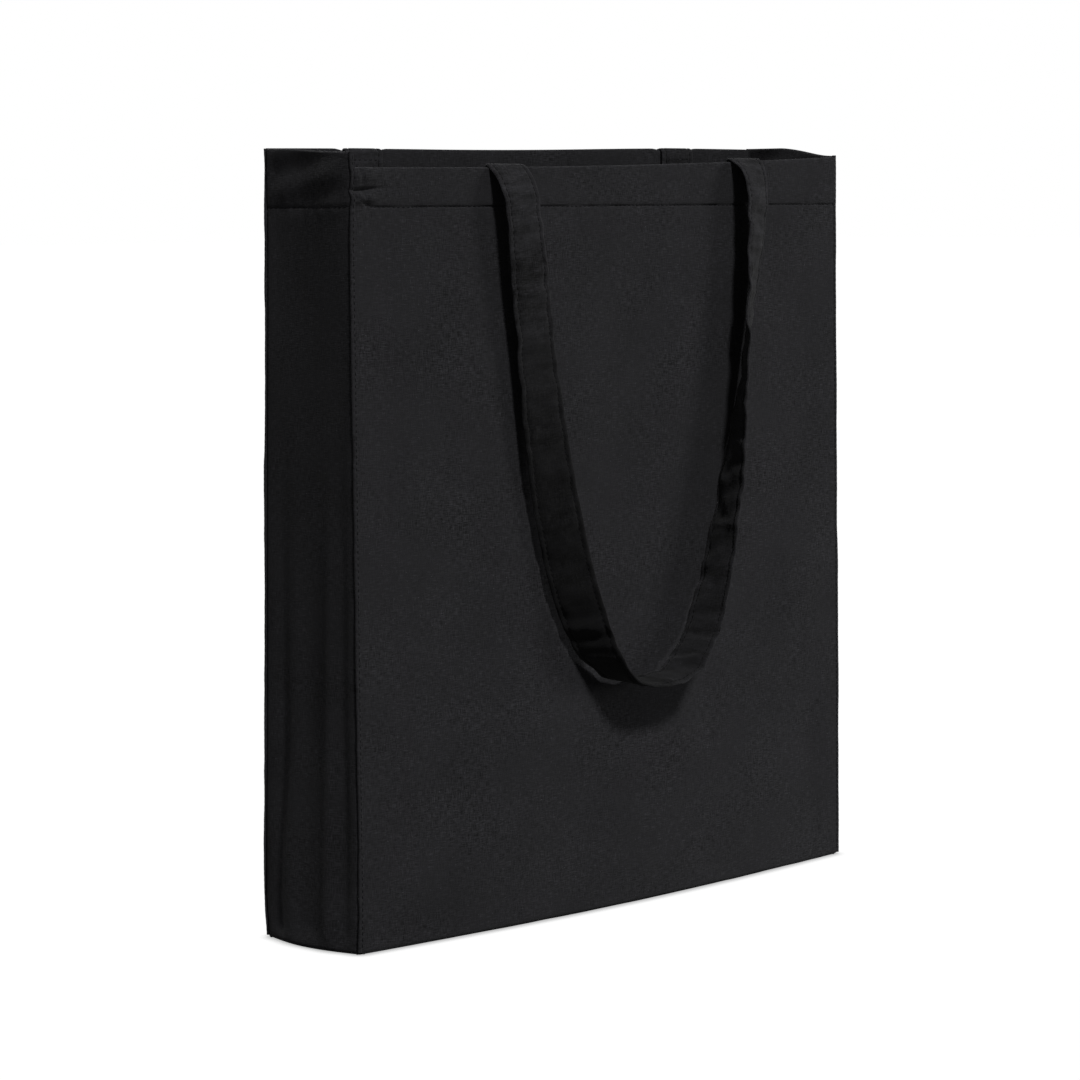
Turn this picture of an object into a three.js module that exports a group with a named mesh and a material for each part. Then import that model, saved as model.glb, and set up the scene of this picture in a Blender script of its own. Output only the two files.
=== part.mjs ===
// A black canvas tote bag with side gussets, a turned hem and two long strap handles,
// standing open with both handles hanging down outside it.
//
// Millimetres. +X runs to the right along the front panel, -Y points to the front and +Z up.
// The origin is the middle of the footprint, at floor level. Everything on the front is built
// by functions that take a side, and the back is the same work turned half round, with its
// handle's ends further apart.

import * as THREE from 'three';

// ---- driving dimensions ----
const BAG_WIDTH = 380;
const BAG_DEPTH = 76;
const BAG_HEIGHT = 420;
const HEM_DEPTH = 28;

const CLOTH = 1; // one layer of canvas, with its nap and waviness
const GAP = 0.3; // clearance kept between neighbouring layers
const SEAM = 3; // side of the square ridge where two panels are sewn together
const SEAM_ROUND = 1.2; // rounding of the ridge's outer edge
const SEAM_ROUND_STEPS = 4;

const STRAP_WIDTH = 26;
const STRAP_THICKNESS = 2; // the strap is canvas folded into four layers
const STRAP_BEVEL = 0.6;
const STRAP_END = 26; // length sewn to the inside of the hem
const FOLD_AXIS = 0.2; // a strap folds over the rim round a line this far in from the face
const FOLD_STEPS = 12;
// Where the middles of each handle's two ends are, seen from its own side.
const HANDLE_ENDS = { front: [-80, 110], back: [-123, 123] };
const HANDLE_DROP = 293; // from the rim to the lowest point of a hanging handle
const HANDLE_BOTTOM_STANDOFF = 16.5; // from the panel to the middle of the strap, lowest down
const HANDLE_STEPS = 72;
const HANDLE_DIVISIONS = 4000; // for measuring along the handle's middle line
const ACROSS_POWER = 0.68; // squares off the handle's outline: 1 gives an ellipse
const DEPTH_POWER = 1.65; // the same for its height
const STANDOFF_POWER = 0.3; // below 1, the strap stands off the panel soon after the rim
const EARLY_TWIST = 0.34; // share of the right leg's turn that it makes soon after the rim
const EARLY_TWIST_POWER = 8; // how soon

const THREAD_HEIGHT = 0.8;
const THREAD_PROUD = 0.4;
const HEM_STITCH_UP = 1; // from the hem's lower edge to the row of stitches that holds it
const STITCH_INSET = 3; // from a strap's edge to the row of stitches along it
const STITCH_GAP = 0.6; // under a row of stitches, as the strap's twist brings it nearer
const BOX_STITCH = 19; // side of the crossed square that holds a strap end
const BOX_STITCH_LINE = 0.9;

// ---- sizes that follow from them ----
const HALF_WIDTH = BAG_WIDTH / 2;
const HALF_DEPTH = BAG_DEPTH / 2;
const PANEL_START = SEAM + GAP; // a panel begins this far in from the edge it is sewn along
const HEM_INSET = CLOTH + GAP; // from a panel's outer face to the turned-in layer behind it
const STRAP_INSET = HEM_INSET + CLOTH + GAP; // from the outer face to a sewn strap end
const STRAP_END_MIDDLE = STRAP_INSET + STRAP_THICKNESS / 2;
const FOLD_RADIUS = STRAP_END_MIDDLE - FOLD_AXIS; // of the strap's middle layer, over the rim
const ROOT_STANDOFF = FOLD_RADIUS - FOLD_AXIS; // from the panel to the strap, at rim height
const HEM_BOTTOM = BAG_HEIGHT - HEM_DEPTH;
const HEM_STITCH_BOTTOM = HEM_BOTTOM + HEM_STITCH_UP;
const HEM_STITCH_TOP = HEM_STITCH_BOTTOM + THREAD_HEIGHT;
const STITCH_ROW = STRAP_WIDTH / 2 - STITCH_INSET; // from a strap's middle to a row of stitches

// ---- materials ----
const canvas = { color: 0x1d1d20, roughness: 0.95, metalness: 0 };
const gussetCanvas = { color: 0x17171a, roughness: 0.95, metalness: 0 };
const strapCanvas = { color: 0x141416, roughness: 0.9, metalness: 0 };
const thread = { color: 0x0b0b0c, roughness: 0.7, metalness: 0 };

function named(name, geometry, look) {
  const mesh = new THREE.Mesh(geometry, new THREE.MeshStandardMaterial(look));
  mesh.name = name;
  return mesh;
}

// A rectangular piece between two corners.
function slab(name, low, high, look) {
  const size = high.map((value, axis) => value - low[axis]);
  const mesh = named(name, new THREE.BoxGeometry(...size), look);
  mesh.position.set(...high.map((value, axis) => (value + low[axis]) / 2));
  return mesh;
}

// ---- cloth panels ----
function sidePanels(side) {
  return [
    slab(
      `${side}_panel`,
      [-HALF_WIDTH + PANEL_START, -HALF_DEPTH, PANEL_START],
      [HALF_WIDTH - PANEL_START, -HALF_DEPTH + CLOTH, BAG_HEIGHT],
      canvas,
    ),
    slab(
      `${side}_hem`,
      [-HALF_WIDTH + PANEL_START, -HALF_DEPTH + HEM_INSET, HEM_BOTTOM],
      [HALF_WIDTH - PANEL_START, -HALF_DEPTH + HEM_INSET + CLOTH, BAG_HEIGHT],
      canvas,
    ),
    slab(
      `${side}_hem_stitching`,
      [-HALF_WIDTH + PANEL_START, -HALF_DEPTH - GAP - THREAD_PROUD, HEM_STITCH_BOTTOM],
      [HALF_WIDTH - PANEL_START, -HALF_DEPTH - GAP, HEM_STITCH_TOP],
      thread,
    ),
  ];
}

function gusset(side) {
  const out = side === 'left' ? -1 : 1;
  const reach = HALF_DEPTH - PANEL_START;
  const layer = (name, inset, thickness, bottom, top, look) => {
    const faces = [out * (HALF_WIDTH - inset), out * (HALF_WIDTH - inset - thickness)];
    return slab(
      name,
      [Math.min(...faces), -reach, bottom],
      [Math.max(...faces), reach, top],
      look,
    );
  };
  return [
    layer(`${side}_gusset`, 0, CLOTH, PANEL_START, BAG_HEIGHT, gussetCanvas),
    layer(`${side}_hem`, HEM_INSET, CLOTH, HEM_BOTTOM, BAG_HEIGHT, gussetCanvas),
    layer(
      `${side}_hem_stitching`,
      -GAP - THREAD_PROUD,
      THREAD_PROUD,
      HEM_STITCH_BOTTOM,
      HEM_STITCH_TOP,
      thread,
    ),
  ];
}

function basePanel() {
  const x = HALF_WIDTH - PANEL_START;
  const y = HALF_DEPTH - PANEL_START;
  return slab('base_panel', [-x, -y, 0], [x, y, CLOTH], canvas);
}

// ---- sewn seams ----
// The square section of a seam ridge, with its outer edge rounded.
// The outer edge is at (0, 0) and the seam lies towards +x and +y.
function seamSection() {
  const shape = new THREE.Shape();
  shape.moveTo(SEAM_ROUND, 0);
  shape.lineTo(SEAM, 0);
  shape.lineTo(SEAM, SEAM);
  shape.lineTo(0, SEAM);
  shape.lineTo(0, SEAM_ROUND);
  shape.absarc(SEAM_ROUND, SEAM_ROUND, SEAM_ROUND, Math.PI, Math.PI * 1.5, false);
  return shape;
}

function seamRidge(length) {
  return new THREE.ExtrudeGeometry(seamSection(), {
    depth: length,
    bevelEnabled: false,
    curveSegments: SEAM_ROUND_STEPS,
  });
}

// The corner seam at the left of a side, which runs from the floor to the rim.
function leftCornerSeam(name) {
  const mesh = named(name, seamRidge(BAG_HEIGHT), canvas);
  mesh.position.set(-HALF_WIDTH, -HALF_DEPTH, 0);
  return mesh;
}

// The corner seam at the right of a side: the same ridge turned a quarter.
function rightCornerSeam(name) {
  const mesh = named(name, seamRidge(BAG_HEIGHT), canvas);
  mesh.rotation.z = Math.PI / 2;
  mesh.position.set(HALF_WIDTH, -HALF_DEPTH, 0);
  return mesh;
}

// The seam between a side's panel and the base.
function longBaseSeam(name) {
  const length = BAG_WIDTH - 2 * PANEL_START;
  const mesh = named(name, seamRidge(length), canvas);
  mesh.rotation.set(Math.PI / 2, Math.PI / 2, 0);
  mesh.position.set(-length / 2, -HALF_DEPTH, 0);
  return mesh;
}

// The seam between a gusset and the base.
function shortBaseSeam(name, turn) {
  const length = BAG_DEPTH - 2 * PANEL_START;
  const mesh = named(name, seamRidge(length), gussetCanvas);
  mesh.rotation.set(Math.PI / 2, Math.PI / 2, 0);
  mesh.position.set(-length / 2, -HALF_WIDTH, 0);
  const group = new THREE.Group();
  group.rotation.z = turn;
  group.add(mesh);
  return group;
}

// ---- strap handles ----
// The middle line of a hanging handle, from its left end at the rim to its right end. Seen from
// the front it is half a squared-off ellipse, and it stands further off the panel lower down.
class HandleLine extends THREE.Curve {
  constructor(side) {
    super();
    const [left, right] = HANDLE_ENDS[side];
    this.centre = (left + right) / 2;
    this.reach = (right - left) / 2;
    this.arcLengthDivisions = HANDLE_DIVISIONS;
  }

  getPoint(t, target = new THREE.Vector3()) {
    const turn = Math.cos(Math.PI * t);
    const across = Math.sign(turn) * Math.pow(Math.abs(turn), ACROSS_POWER);
    const depth = Math.pow(Math.abs(Math.sin(Math.PI * t)), DEPTH_POWER);
    const rise = HANDLE_BOTTOM_STANDOFF - ROOT_STANDOFF;
    return target.set(
      this.centre - this.reach * across,
      -HALF_DEPTH - ROOT_STANDOFF - rise * Math.pow(depth, STANDOFF_POWER),
      BAG_HEIGHT - HANDLE_DROP * depth,
    );
  }
}

// How far the strap has turned from lying flat on the panel, at a share of its length. It
// stands square to the panel at the bottom. The left leg turns evenly. The right leg makes
// part of its turn soon after the rim, and the rest evenly.
function handleTwist(share) {
  const down = 1 - Math.abs(2 * share - 1);
  const early = share < 0.5 ? 0 : EARLY_TWIST;
  const soon = 1 - Math.pow(1 - down, EARLY_TWIST_POWER);
  return (Math.PI / 2) * (early * soon + (1 - early) * down);
}

// Cross-sections of the strap along a hanging handle: a middle, a unit vector across the
// width and a unit vector through the thickness.
function handleFrames(side) {
  const line = new HandleLine(side);
  const front = new THREE.Vector3(0, -1, 0);
  const frames = [];
  for (let step = 0; step <= HANDLE_STEPS; step += 1) {
    const share = step / HANDLE_STEPS;
    const middle = line.getPointAt(share);
    const along = line.getTangentAt(share);
    if (step === 0 || step === HANDLE_STEPS) {
      along.set(0, 0, step === 0 ? -1 : 1);
      middle.z -= GAP;
    }
    const inward = new THREE.Vector3().crossVectors(front, along).normalize();
    const outward = new THREE.Vector3().crossVectors(along, inward).normalize();
    const twist = handleTwist(share);
    const width = inward.clone().multiplyScalar(Math.cos(twist));
    width.addScaledVector(outward, Math.sin(twist));
    const through = new THREE.Vector3().crossVectors(along, width);
    frames.push({ middle, width, through });
  }
  return frames;
}

// Cross-sections of a sewn strap end: up the inside of the hem, then over the rim.
function strapEndFrames(x) {
  const inside = -HALF_DEPTH + STRAP_END_MIDDLE;
  const width = new THREE.Vector3(1, 0, 0);
  const frames = [
    {
      middle: new THREE.Vector3(x, inside, BAG_HEIGHT - STRAP_END),
      width,
      through: new THREE.Vector3(0, 1, 0),
    },
  ];
  for (let step = 0; step <= FOLD_STEPS; step += 1) {
    const angle = (Math.PI * step) / FOLD_STEPS;
    const through = new THREE.Vector3(0, Math.cos(angle), Math.sin(angle));
    const middle = new THREE.Vector3(x, -HALF_DEPTH + FOLD_AXIS, BAG_HEIGHT);
    middle.addScaledVector(through, FOLD_RADIUS);
    frames.push({ middle, width, through });
  }
  return frames;
}

// A strap's section as (across, through) pairs, with bevelled corners.
function strapSection() {
  const w = STRAP_WIDTH / 2;
  const t = STRAP_THICKNESS / 2;
  const b = STRAP_BEVEL;
  return [
    [w - b, -t],
    [w, -t + b],
    [w, t - b],
    [w - b, t],
    [-w + b, t],
    [-w, t - b],
    [-w, -t + b],
    [-w + b, -t],
  ];
}

// The section of one row of stitches: a thin strip on the face of the strap.
function stitchSection(across) {
  const bottom = STRAP_THICKNESS / 2 + STITCH_GAP;
  return [
    [across - THREAD_HEIGHT / 2, bottom],
    [across + THREAD_HEIGHT / 2, bottom],
    [across + THREAD_HEIGHT / 2, bottom + THREAD_PROUD],
    [across - THREAD_HEIGHT / 2, bottom + THREAD_PROUD],
  ];
}

// A closed solid through a row of equal convex sections, ends included.
function sweptSolid(frames, section) {
  const positions = [];
  const indices = [];
  const count = section.length;
  for (const { middle, width, through } of frames) {
    for (const [across, out] of section) {
      const point = middle.clone().addScaledVector(width, across);
      point.addScaledVector(through, out);
      positions.push(point.x, point.y, point.z);
    }
  }
  for (let ring = 0; ring < frames.length - 1; ring += 1) {
    for (let corner = 0; corner < count; corner += 1) {
      const next = (corner + 1) % count;
      const a = ring * count + corner;
      const b = ring * count + next;
      indices.push(a, b, b + count, a, b + count, a + count);
    }
  }
  const last = (frames.length - 1) * count;
  for (let corner = 1; corner < count - 1; corner += 1) {
    indices.push(0, corner + 1, corner);
    indices.push(last, last + corner, last + corner + 1);
  }
  const geometry = new THREE.BufferGeometry();
  geometry.setAttribute('position', new THREE.Float32BufferAttribute(positions, 3));
  geometry.setIndex(indices);
  geometry.computeVertexNormals();
  return geometry;
}

// The crossed square of stitches that holds a strap end: a square frame with both diagonals.
function boxStitchGeometry() {
  const half = BOX_STITCH / 2;
  const inner = half - BOX_STITCH_LINE;
  const fromMiddle = BOX_STITCH_LINE * Math.SQRT1_2;
  const shape = new THREE.Shape();
  shape.moveTo(-half, -half);
  shape.lineTo(half, -half);
  shape.lineTo(half, half);
  shape.lineTo(-half, half);
  shape.closePath();
  for (let quarter = 0; quarter < 4; quarter += 1) {
    const angle = (quarter * Math.PI) / 2;
    const turned = (x, y) => [
      x * Math.cos(angle) - y * Math.sin(angle),
      x * Math.sin(angle) + y * Math.cos(angle),
    ];
    const hole = new THREE.Path();
    hole.moveTo(...turned(0, fromMiddle));
    hole.lineTo(...turned(inner - fromMiddle, inner));
    hole.lineTo(...turned(-inner + fromMiddle, inner));
    hole.closePath();
    shape.holes.push(hole);
  }
  return new THREE.ExtrudeGeometry(shape, { depth: THREAD_PROUD, bevelEnabled: false });
}

function strapEnd(side, end, x) {
  const strap = named(
    `${side}_handle_end_${end}`,
    sweptSolid(strapEndFrames(x), strapSection()),
    strapCanvas,
  );
  const stitches = named(`${side}_box_stitch_${end}`, boxStitchGeometry(), thread);
  stitches.rotation.x = Math.PI / 2;
  stitches.position.set(
    x,
    -HALF_DEPTH + STRAP_INSET + STRAP_THICKNESS + GAP + THREAD_PROUD,
    BAG_HEIGHT - STRAP_END / 2,
  );
  return [strap, stitches];
}

function handle(side) {
  const frames = handleFrames(side);
  const [leftX, rightX] = HANDLE_ENDS[side];
  const sewn = (across) => sweptSolid(frames, stitchSection(across));
  return [
    named(`${side}_handle`, sweptSolid(frames, strapSection()), strapCanvas),
    named(`${side}_handle_stitching_inner`, sewn(-STITCH_ROW), thread),
    named(`${side}_handle_stitching_outer`, sewn(STITCH_ROW), thread),
    ...strapEnd(side, 'left', leftX),
    ...strapEnd(side, 'right', rightX),
  ];
}

// ---- assembly ----
function bagSide(side) {
  const group = new THREE.Group();
  group.add(...sidePanels(side), ...handle(side));
  group.add(leftCornerSeam(`${side}_seam_left`), rightCornerSeam(`${side}_seam_right`));
  group.add(longBaseSeam(`${side}_base_seam`));
  return group;
}

const toteBag = new THREE.Group();
const front = bagSide('front');
const back = bagSide('back');
back.rotation.z = Math.PI;
toteBag.add(front, back, basePanel(), ...gusset('left'), ...gusset('right'));
toteBag.add(shortBaseSeam('left_base_seam', -Math.PI / 2));
toteBag.add(shortBaseSeam('right_base_seam', Math.PI / 2));

export default toteBag;
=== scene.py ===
"""A black canvas tote bag with side gussets, a turned hem and two long strap handles.

Metres, in the row frame: +X runs to the right along the front, -Y points to the front, +Z up.
The front and the back are built by the same functions in "side" coordinates, where x runs to
the right seen from that side, q goes inwards from the panel's outer face and z goes up.
"""

import math

import bpy
import numpy as np
from mathutils import Matrix, Vector

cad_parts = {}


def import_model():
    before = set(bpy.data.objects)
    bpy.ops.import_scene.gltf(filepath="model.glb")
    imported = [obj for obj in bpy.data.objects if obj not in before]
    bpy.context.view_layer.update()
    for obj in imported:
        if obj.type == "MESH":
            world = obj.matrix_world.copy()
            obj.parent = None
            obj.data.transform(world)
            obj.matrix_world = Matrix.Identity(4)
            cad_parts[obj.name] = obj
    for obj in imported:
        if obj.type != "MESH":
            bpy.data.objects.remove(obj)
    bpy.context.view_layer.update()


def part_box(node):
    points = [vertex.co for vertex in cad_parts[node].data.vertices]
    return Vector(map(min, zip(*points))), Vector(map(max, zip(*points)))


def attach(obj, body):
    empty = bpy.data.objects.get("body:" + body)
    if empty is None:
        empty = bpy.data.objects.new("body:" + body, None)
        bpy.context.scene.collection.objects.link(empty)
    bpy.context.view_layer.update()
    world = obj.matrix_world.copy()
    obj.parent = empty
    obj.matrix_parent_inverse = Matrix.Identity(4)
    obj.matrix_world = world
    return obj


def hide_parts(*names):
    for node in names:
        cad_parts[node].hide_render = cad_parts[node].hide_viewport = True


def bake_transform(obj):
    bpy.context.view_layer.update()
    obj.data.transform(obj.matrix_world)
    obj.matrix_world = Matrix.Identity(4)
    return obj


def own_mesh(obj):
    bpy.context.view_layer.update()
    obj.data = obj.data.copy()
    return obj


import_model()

MM = 0.001

# ---- sizes read from the frame ----
seam_low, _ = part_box("front_seam_left")
_, panel_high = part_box("front_panel")
hem_low, hem_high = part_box("front_hem")
end_low, end_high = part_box("front_handle_end_left")
handle_low, handle_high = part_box("front_handle")

HALF_WIDTH = -seam_low.x
HALF_DEPTH = -seam_low.y
HEIGHT = panel_high.z
HEM = hem_high.z - hem_low.z
STRAP_WIDTH = end_high.x - end_low.x
STRAP_END = HEIGHT - end_low.z
SOLID_STRAP = 2 * MM  # the thickness of the strap's CAD solid
HANDLE_DROP = handle_high.z - handle_low.z - SOLID_STRAP / 2  # to the middle of the strap

# ---- cloth and sewing sizes ----
CLOTH = 0.6 * MM
FOLD = 1.1 * MM  # radius of the outer face where the hem turns over the rim
BASE_ROUND = 3.0 * MM  # radius where a panel turns under to meet the base
HEM_SPARE = 1.5 * MM  # the turned-in hem below its row of stitches
EDGE_GAP = 0.9 * MM  # how far short of the bag's corners a sheet ends, inside the seams
STITCH_PITCH = 3.3 * MM
STITCH_LENGTH = 2.5 * MM
THREAD_RADIUS = 0.26 * MM
THREAD_PROUD = 0.1 * MM  # how far a hem's thread lies out of the cloth
BAND_WIDTH = 2.6 * MM  # the pinched, topstitched seam along an upright corner
BAND_THICK = 1.4 * MM
BAND_PROUD = 0.5 * MM  # how far the pinched seam stands out past the corner
BASE_SEAM_HEIGHT = 0.8 * MM  # the middle of the ridges round the base, above the floor
STRAP_THICK = 1.8 * MM
STRAP_STITCH_IN = 3.0 * MM
STRAP_INSIDE = 2 * FOLD + STRAP_THICK / 2 + 0.15 * MM  # outer face to a sewn end's middle
STRAP_FOLD = STRAP_INSIDE - FOLD  # radius of the strap's middle as it passes over the rim
STRAP_LEAVES = math.radians(130)  # how far round the rim a strap goes before it stands off
ROOT_STANDOFF = 12.3 * MM  # how far a strap springs away from the panel just under the rim
ROOT_REACH = 8.3 * MM  # the drop over which it does
LEG_SETTLES = 3.0 * MM  # how much closer to the panel it hangs further down
BOTTOM_SWINGS = 9.9 * MM  # how much further out its twisted lowest part hangs
STRAP_CLEAR = 0.9 * MM  # a hanging strap's edge stays at least this far off the panel
BOX_HALF = 9.5 * MM  # half the side of a crossed square of stitches
STITCH_Z = HEIGHT - HEM

# ---- distances up a hemmed sheet, from its edge under the bag ----
TURN_END = BASE_ROUND * math.pi / 2
RIM_START = TURN_END + HEIGHT - FOLD - BASE_ROUND
RIM_END = RIM_START + FOLD * math.pi
RIM_REACH = 30 * MM  # the stretch below the rim that takes up its unevenness

FRONT, BACK = "front", "back"
TURN = {FRONT: 1, BACK: -1}  # the sign of a side's x and q directions in the row frame
OUT = {"left": -1, "right": 1}  # the sign of x towards each end
BODY = {FRONT: "bag", BACK: "back_side"}

# ---- how the standing bag differs from a straight box ----
LEAN = {FRONT: 0.5 * MM, BACK: 6.3 * MM}  # how far a side's corners lean in at the rim
# How far the middle of each side is bowed out at the floor, and the heights where that ends.
BASE_BOW = {FRONT: 8.8 * MM, BACK: 7.5 * MM, "left": 6.5 * MM, "right": 5.0 * MM}
SIDE_BOW_TOP = 170 * MM
GUSSET_BOW_TOP = 130 * MM
WHOLE_BOW = {FRONT: 1.2 * MM, BACK: 1.0 * MM}  # a large panel's bow at every height
FOOT_TOP = 25 * MM  # the corners are uneven below this height
KNEE_TOP = 190 * MM  # the gussets' back edges stand out below this height
BACK_RISE = {"left": 3.2 * MM, "right": 5.8 * MM}  # how far the rim rises at a back corner


def handle_ends(side):
    """The middles of a side's two strap ends, in side coordinates, left then right."""
    boxes = [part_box(f"{side}_handle_end_{which}") for which in ("left", "right")]
    return tuple(TURN[side] * (low.x + high.x) / 2 for low, high in boxes)


HANDLE_ENDS = {side: handle_ends(side) for side in (FRONT, BACK)}


# ---- curves ----
def smooth(t):
    """0 below 0, 1 above 1, and an even curve between."""
    t = np.clip(t, 0, 1)
    return t * t * (3 - 2 * t)


def bump(t):
    """1 at 0, and fading evenly to nothing on both sides by about 2."""
    return np.exp(-(t**2))


class Ripples:
    """A sum of sine waves in seeded random directions: gentle unevenness of about 1 unit."""

    def __init__(self, seed, longest, shortest, count=14):
        rng = np.random.default_rng(seed)
        wavelength = np.exp(rng.uniform(math.log(shortest), math.log(longest), count))
        angle = rng.uniform(0, 2 * math.pi, count)
        self.a = 2 * math.pi / wavelength * np.cos(angle)
        self.b = 2 * math.pi / wavelength * np.sin(angle)
        self.phase = rng.uniform(0, 2 * math.pi, count)
        self.size = np.sqrt(wavelength / longest)
        self.size /= np.sqrt((self.size**2).sum() / 2)

    def __call__(self, u, v):
        u, v = np.broadcast_arrays(np.asarray(u, float), np.asarray(v, float))
        waves = np.sin(u[..., None] * self.a + v[..., None] * self.b + self.phase)
        return (waves * self.size).sum(-1)


def spaced(*stretches):
    """Positions from stretches of (start, end, step), joined, each end shared."""
    rows = [np.linspace(a, b, max(2, round(abs(b - a) / step) + 1)) for a, b, step in stretches]
    return np.concatenate([rows[0]] + [row[1:] for row in rows[1:]])


def distances(points):
    """How far along a line each of its points is."""
    steps = np.linalg.norm(np.diff(points, axis=0), axis=1)
    return np.concatenate([[0], np.cumsum(steps)])


def read_at(at, along, values):
    """The values of a line's points, read at other distances along it."""
    return np.stack([np.interp(at, along, values[:, axis]) for axis in range(3)], axis=-1)


def unit(vectors):
    return vectors / np.linalg.norm(vectors, axis=-1, keepdims=True)


# ---- the bag's overall shape ----
def low_down(z, top):
    """1 at the floor, fading to 0 at a height."""
    return 1 - smooth(z / top)


def bag_shape(points):
    """Bends the straight box into the standing bag: the base is bowed out by what it has
    carried, the corners are a little uneven and the back leans in towards the mouth."""
    x, y, z = points[..., 0], points[..., 1], points[..., 2]
    nx, ny = np.clip(x / HALF_WIDTH, -1, 1), np.clip(y / HALF_DEPTH, -1, 1)
    front, back = (1 - ny) / 2, (1 + ny) / 2
    left = (1 - nx) / 2
    foot, knee, whole = low_down(z, FOOT_TOP), low_down(z, KNEE_TOP), low_down(z, HEIGHT)
    gusset_bow = np.cos(math.pi / 2 * ny) * low_down(z, GUSSET_BOW_TOP)
    arch, bow = np.cos(math.pi / 2 * nx), low_down(z, SIDE_BOW_TOP)
    left_out = front * -1.5 * MM * foot + back * (2.4 * MM * knee + 1.5 * MM * foot)
    left_out = left_out + BASE_BOW["left"] * gusset_bow
    right_out = front * 3.2 * MM * whole + back * 1.5 * MM * knee
    right_out = right_out + BASE_BOW["right"] * gusset_bow
    front_out = left * -2.5 * MM * foot + arch * (BASE_BOW[FRONT] * bow + WHOLE_BOW[FRONT])
    back_out = left * -3.5 * MM * foot + arch * (BASE_BOW[BACK] * bow + WHOLE_BOW[BACK])
    front_out, back_out = front_out - lean(FRONT, z), back_out - lean(BACK, z)
    x = x + nx * np.where(nx < 0, left_out, right_out)
    y = y + ny * np.where(ny < 0, front_out, back_out)
    return np.stack([x, y, z], axis=-1)


def lean(side, z):
    """How far a side's upright corners come inwards with height."""
    return LEAN[side] * smooth(z / HEIGHT) ** 2


def side_to_world(side, points):
    """Side coordinates (x, q, z) to the row frame."""
    x, q, z = points[..., 0], points[..., 1], points[..., 2]
    return np.stack([TURN[side] * x, TURN[side] * (q - HALF_DEPTH), z], axis=-1)


def bent(side, x, q, z):
    """Places on the straight box, in side coordinates, as points of the bent bag."""
    return bag_shape(side_to_world(side, np.stack([x, q, z], axis=-1)))


def rim_height(side, x):
    """The height of the rim along a side, in side coordinates. The front's is drawn down at its
    left end, and the back's stands a little higher."""
    along = (x + HALF_WIDTH) / (2 * HALF_WIDTH)
    if side == FRONT:
        return HEIGHT - 7.5 * MM * (1 - np.clip(along, 0, 1) ** 2.2)
    height = HEIGHT + 5.4 * MM - 2.2 * MM * smooth(along) + 0.4 * MM * np.sin(9 * along)
    for strap_x in HANDLE_ENDS[side]:
        # The strap presses the rim down where it passes over it.
        height = height - 1.7 * MM * np.exp(-(((x - strap_x) / (15 * MM)) ** 6))
    return height


def gusset_rim(side, s):
    """The height of a gusset's rim, from s = -1 at the front corner to 1 at the back."""
    front_rise = 0.6 * MM
    rise = smooth((s + 1) / (2.0 if side == "left" else 1.2))
    return HEIGHT + front_rise + (BACK_RISE[side] - front_rise) * rise


PANEL_WAVES = {FRONT: Ripples(3, 0.30, 0.08), BACK: Ripples(8, 0.30, 0.08)}
FINE_WAVES = {FRONT: Ripples(5, 0.05, 0.014, 22), BACK: Ripples(6, 0.05, 0.014, 22)}


def stitch_height(side, x):
    """The height of the hem's stitches. At the front's left end they climb to the corner."""
    if side != FRONT:
        return STITCH_Z + 0 * x
    return STITCH_Z + 5.3 * MM * bump((x + HALF_WIDTH) / (9 * MM))


def panel_depth(side, x, z):
    """How far a panel's outer face dips below its smooth shape."""
    edge = smooth((HALF_WIDTH - np.abs(x)) / (30 * MM))
    foot = smooth(z / (25 * MM))
    depth = 0.75 * MM * PANEL_WAVES[side](x, z) + 0.12 * MM * FINE_WAVES[side](x, z)
    hem = hem_dent(x, z - stitch_height(side, x), 1.0)
    return edge * foot * depth + hem + corner_bunch(side, x, z)


def hem_dent(x, up, tightness):
    """The groove that the hem's stitching pulls into the cloth, and the puckers beside it.
    up is the height above the stitches."""
    pulled = 1 + 0.35 * np.sin(x / (3.9 * MM)) + 0.25 * np.sin(x / (10.3 * MM) + 1.0)
    groove = 0.75 * MM * tightness * pulled * bump(up / (0.55 * MM))
    dip = 0.30 * MM * tightness * bump(up / (3.5 * MM))
    gathers = 0.16 * MM * np.sin(x / (1.9 * MM) + 2.0 * np.sin(x / (31 * MM)))
    doubled = -0.30 * MM * smooth(up / (2.5 * MM))
    return groove + dip + gathers * bump(up / (6 * MM)) + doubled


def corner_bunch(side, x, z):
    """The hem is bunched at the left end of the front, where the seam has drawn it down: one
    long crease with a swelling above and below it, each tucked by short upright creases."""
    if side != FRONT:
        return 0 * x
    from_corner = x + HALF_WIDTH
    along = bump(from_corner / (16 * MM)) * (0.3 + 0.7 * smooth(from_corner / (6 * MM)))
    up = z - HEIGHT + 19.5 * MM - 0.06 * from_corner
    upper = bump((up - 7.5 * MM) / (4.4 * MM))
    lower = bump((up + 4.6 * MM) / (2.8 * MM))
    crease = 3.4 * MM * bump(up / (1.0 * MM))
    tucks = 2.0 * MM * bump((from_corner - 8 * MM + 0.3 * up) / (1.3 * MM))
    tucks = tucks - 0.9 * MM * bump((from_corner - 13 * MM) / (3.0 * MM))
    return along * (crease + (tucks - 3.6 * MM) * (upper + 0.9 * lower))


# ---- mesh making ----
def in_scene(name, data):
    """A new object made of some data, linked into the scene."""
    made = bpy.data.objects.new(name, data)
    bpy.context.scene.collection.objects.link(made)
    return made


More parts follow.
